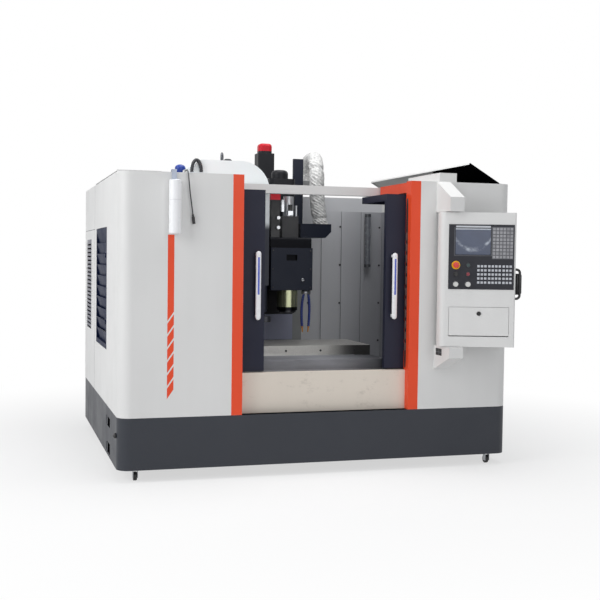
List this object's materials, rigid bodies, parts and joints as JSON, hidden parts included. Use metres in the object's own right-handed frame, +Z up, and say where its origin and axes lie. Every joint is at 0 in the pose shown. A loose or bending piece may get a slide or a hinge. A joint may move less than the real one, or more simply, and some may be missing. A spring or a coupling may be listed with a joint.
{
  "type": "vertical machining center",
  "caption": "Enclosed vertical machining centre with sliding doors, T-slot table, vertical spindle head, tool magazine, swivelling control box and coolant tank on casters.",
  "frame": {"origin": "centre of the footprint on the floor", "axes": "+X to the right seen from the operator's side, +Y from the front to the back, +Z up"},
  "size_m": [2.606, 2.5197, 2.258],
  "materials": {
    "cast_grey": "machined and painted casting",
    "steel": "ground steel",
    "aluminium": "satin",
    "white_paint": "satin light grey powder coat",
    "beam_paint": "satin light grey powder coat",
    "apron_paint": "scuffed light grey coat",
    "inner_paint": "satin grey coat",
    "orange_paint": "satin orange coat",
    "door_slate": "satin dark slate coat",
    "skirt": "textured anthracite coat",
    "dark_paint": "satin dark slate coat",
    "louvre_blue": "satin blue coat",
    "canister": "satin white coat",
    "glass": "clear laminated pane",
    "screen": "glossy display",
    "black_plastic": "matt",
    "handle_white": "glossy white",
    "red_plastic": "glossy red",
    "green_plastic": "glossy green",
    "hose": "matt navy",
    "sleeve": "pale woven cable sleeve",
    "cable": "matt dark sheath",
    "lamp": "clear tube",
    "wheel": "matt"
  },
  "bodies": {
    "machine": {"bed_casting": "cast_grey", "column_casting": "cast_grey", "levelling_feet": "steel", "base_skirt": "skirt", "left_guard": "white_paint", "right_guard": "white_paint", "door_trims": "orange_paint", "front_apron": "apron_paint", "top_beam": "beam_paint", "splash_walls": "inner_paint", "electrical_cabinet": "white_paint", "axis_guides": "steel", "servo_motors": "dark_paint", "magazine_housing": "white_paint", "atc_cam_box": "dark_paint", "work_lamp": "lamp", "hung_canister": "canister", "lamp_cable": "cable", "cable_plug": "black_plastic"},
    "saddle": {"saddle_casting": "cast_grey", "y_cover_moving": "steel"},
    "middle_cover": {"y_cover_middle": "steel"},
    "work_table": {"table": "cast_grey"},
    "head": {"head_casting": "dark_paint", "head_cover": "dark_paint", "spindle_motor": "dark_paint", "unclamp_unit": "aluminium", "coolant_nozzles": "hose", "cable_bracket": "dark_paint", "cable_sleeve": "sleeve", "z_way_cover": "steel"},
    "spindle_rotor": {"spindle": "steel"},
    "door_left": {"left_door": "door_slate", "left_door_glass": "glass", "left_door_handle": "handle_white"},
    "door_right": {"right_door": "door_slate", "right_door_glass": "glass", "right_door_handle": "handle_white"},
    "control_box": {"control_box_shell": "white_paint", "control_fascia": "black_plastic", "display_screen": "screen", "control_handle": "black_plastic"},
    "estop": {"estop_button": "red_plastic"},
    "start": {"start_button": "green_plastic"},
    "stop": {"stop_button": "red_plastic"},
    "mode_knob": {"mode_selector": "black_plastic"},
    "feed_knob": {"feed_dial": "handle_white"},
    "speed_knob": {"spindle_dial": "handle_white"},
    "flap": {"storage_flap": "white_paint"},
    "magazine": {"magazine_disc": "aluminium"},
    "arm": {"change_arm": "steel"},
    "lid_left": {"left_roof_lid": "white_paint"},
    "lid_right": {"right_roof_lid": "white_paint"},
    "louvre": {"side_louvre_door": "louvre_blue"},
    "cabinet_leaf": {"cabinet_door": "white_paint"},
    "tank": {"coolant_tank": "skirt"},
    "fork_left": {"left_caster_fork": "steel"},
    "wheel_left": {"left_caster_wheel": "wheel"},
    "fork_right": {"right_caster_fork": "steel"},
    "wheel_right": {"right_caster_wheel": "wheel"}
  },
  "joints": [
    {"name": "y_slide", "type": "slide", "parent": "machine", "child": "saddle", "axis": [0, 1, 0], "range_m": [-0.25, 0.25]},
    {"name": "cover_slide", "type": "slide", "parent": "machine", "child": "middle_cover", "axis": [0, 1, 0], "range_m": [-0.125, 0.125]},
    {"name": "x_slide", "type": "slide", "parent": "saddle", "child": "work_table", "axis": [1, 0, 0], "range_m": [-0.45, 0.35]},
    {"name": "z_slide", "type": "slide", "parent": "machine", "child": "head", "axis": [0, 0, 1], "range_m": [-0.075, 0.4], "deforming": ["cable_sleeve"]},
    {"name": "spindle_turn", "type": "hinge", "parent": "head", "child": "spindle_rotor", "pos_m": [0.02, -0.022, 0.98], "axis": [0, 0, 1], "continuous": true},
    {"name": "left_door_slide", "type": "slide", "parent": "machine", "child": "door_left", "axis": [1, 0, 0], "range_m": [0, 0.395]},
    {"name": "right_door_slide", "type": "slide", "parent": "machine", "child": "door_right", "axis": [-1, 0, 0], "range_m": [0, 0.42]},
    {"name": "control_swivel", "type": "hinge", "parent": "machine", "child": "control_box", "pos_m": [0.802, -1.092, 1.246], "axis": [0, 0, 1], "range_deg": [-57, 18]},
    {"name": "estop_press", "type": "slide", "parent": "control_box", "child": "estop", "axis": [0.319, 0.9478, 0], "range_m": [0, 0.005]},
    {"name": "start_press", "type": "slide", "parent": "control_box", "child": "start", "axis": [0.319, 0.9478, 0], "range_m": [0, 0.004], "stiffness_N_per_m": 600, "springref_m": -0.002},
    {"name": "stop_press", "type": "slide", "parent": "control_box", "child": "stop", "axis": [0.319, 0.9478, 0], "range_m": [0, 0.004], "stiffness_N_per_m": 600, "springref_m": -0.002},
    {"name": "mode_turn", "type": "hinge", "parent": "control_box", "child": "mode_knob", "pos_m": [0.81482, -1.14168, 1.282], "axis": [-0.319, -0.9478, 0], "range_deg": [-60, 60]},
    {"name": "feed_turn", "type": "hinge", "parent": "control_box", "child": "feed_knob", "pos_m": [0.81482, -1.14168, 1.217], "axis": [-0.319, -0.9478, 0], "range_deg": [-135, 135]},
    {"name": "speed_turn", "type": "hinge", "parent": "control_box", "child": "speed_knob", "pos_m": [0.88875, -1.16656, 1.217], "axis": [-0.319, -0.9478, 0], "range_deg": [-135, 135]},
    {"name": "flap_hinge", "type": "hinge", "parent": "control_box", "child": "flap", "pos_m": [0.96128, -1.18148, 0.895], "axis": [0.9478, -0.319, 0], "range_deg": [0, 95]},
    {"name": "magazine_turn", "type": "hinge", "parent": "machine", "child": "magazine", "pos_m": [-0.46, 0.038, 1.52], "axis": [0, 1, 0], "continuous": true},
    {"name": "arm_turn", "type": "hinge", "parent": "machine", "child": "arm", "pos_m": [-0.21, -0.022, 0.965], "axis": [0, 0, 1], "range_deg": [0, 90]},
    {"name": "left_lid_hinge", "type": "hinge", "parent": "machine", "child": "lid_left", "pos_m": [-1.288, -0.171, 1.888], "axis": [0, -1, 0], "range_deg": [0, 75]},
    {"name": "right_lid_hinge", "type": "hinge", "parent": "machine", "child": "lid_right", "pos_m": [1.288, 0.1185, 1.888], "axis": [0, 1, 0], "range_deg": [-30, 45]},
    {"name": "louvre_hinge", "type": "hinge", "parent": "machine", "child": "louvre", "pos_m": [-1.288, 0.353, 1.156], "axis": [0, 0, -1], "range_deg": [0, 100]},
    {"name": "cabinet_hinge", "type": "hinge", "parent": "machine", "child": "cabinet_leaf", "pos_m": [-1.29, 1.236, 1.136], "axis": [0, 0, 1], "range_deg": [0, 110]},
    {"name": "tank_slide", "type": "slide", "parent": "machine", "child": "tank", "axis": [0, -1, 0], "range_m": [0, 0.7]},
    {"name": "left_caster_swivel", "type": "hinge", "parent": "tank", "child": "fork_left", "pos_m": [-1.185, -0.9, 0.075], "axis": [0, 0, 1], "continuous": true},
    {"name": "left_caster_roll", "type": "hinge", "parent": "fork_left", "child": "wheel_left", "pos_m": [-1.185, -0.882, 0.0273], "axis": [1, 0, 0], "continuous": true},
    {"name": "right_caster_swivel", "type": "hinge", "parent": "tank", "child": "fork_right", "pos_m": [1.185, -0.9, 0.075], "axis": [0, 0, 1], "continuous": true},
    {"name": "right_caster_roll", "type": "hinge", "parent": "fork_right", "child": "wheel_right", "pos_m": [1.185, -0.882, 0.0273], "axis": [1, 0, 0], "continuous": true}
  ],
  "couplings": [
    {"joint": "cover_slide", "follows": "y_slide", "ratio": 0.5}
  ]
}
